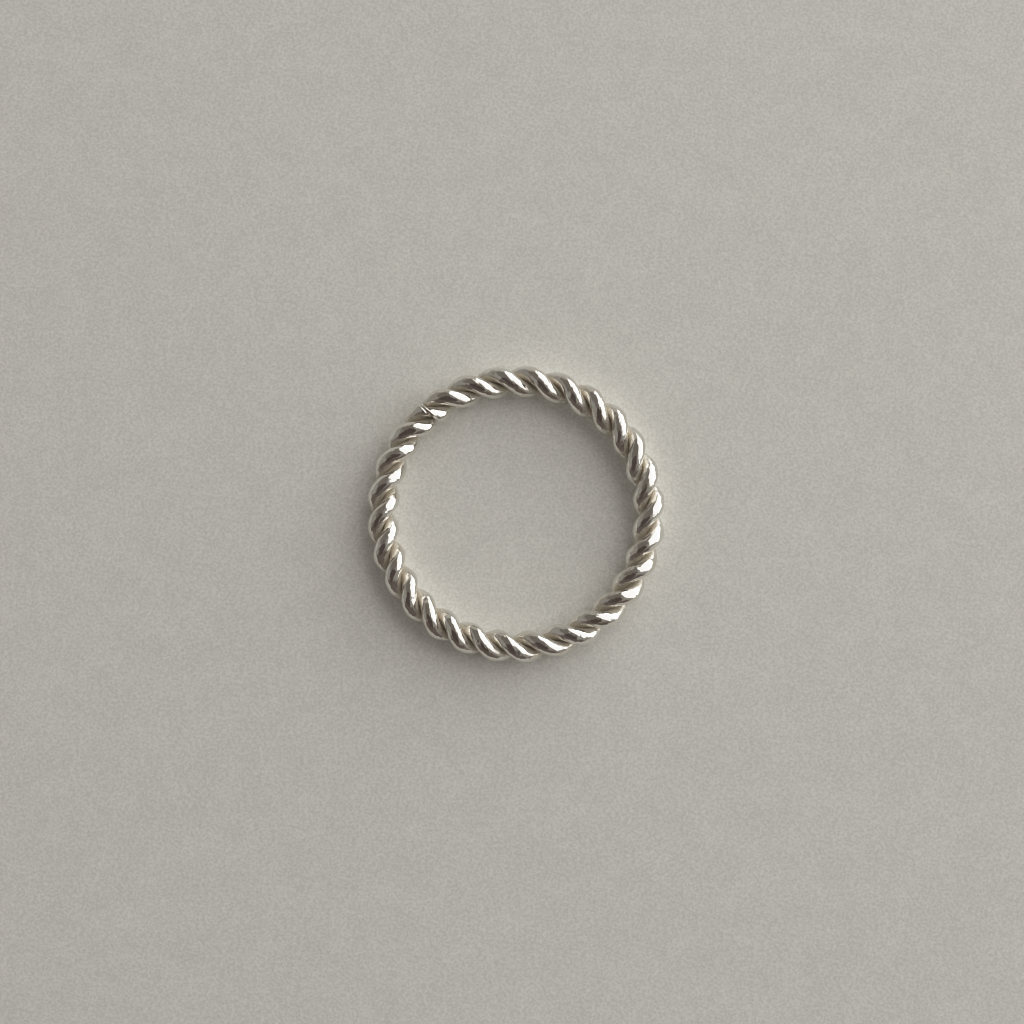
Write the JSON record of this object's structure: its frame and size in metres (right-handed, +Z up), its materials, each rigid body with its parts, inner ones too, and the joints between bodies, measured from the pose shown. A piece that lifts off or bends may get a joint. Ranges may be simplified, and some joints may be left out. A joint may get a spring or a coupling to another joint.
{
  "type": "rope twist ring",
  "caption": "Plain finger ring of round silver wires twisted together like a rope and soldered end to end, lying flat.",
  "frame": {"origin": "on the surface that the ring lies on, under the middle of the finger hole", "axes": "+Z up along the finger hole's axis, +X to the picture's right, +Y to the picture's top"},
  "size_m": [0.0214, 0.0214, 0.0023],
  "materials": {
    "silver": "polished sterling silver, softened by wear"
  },
  "bodies": {
    "root": {"twist_band": "silver"}
  },
  "joints": []
}
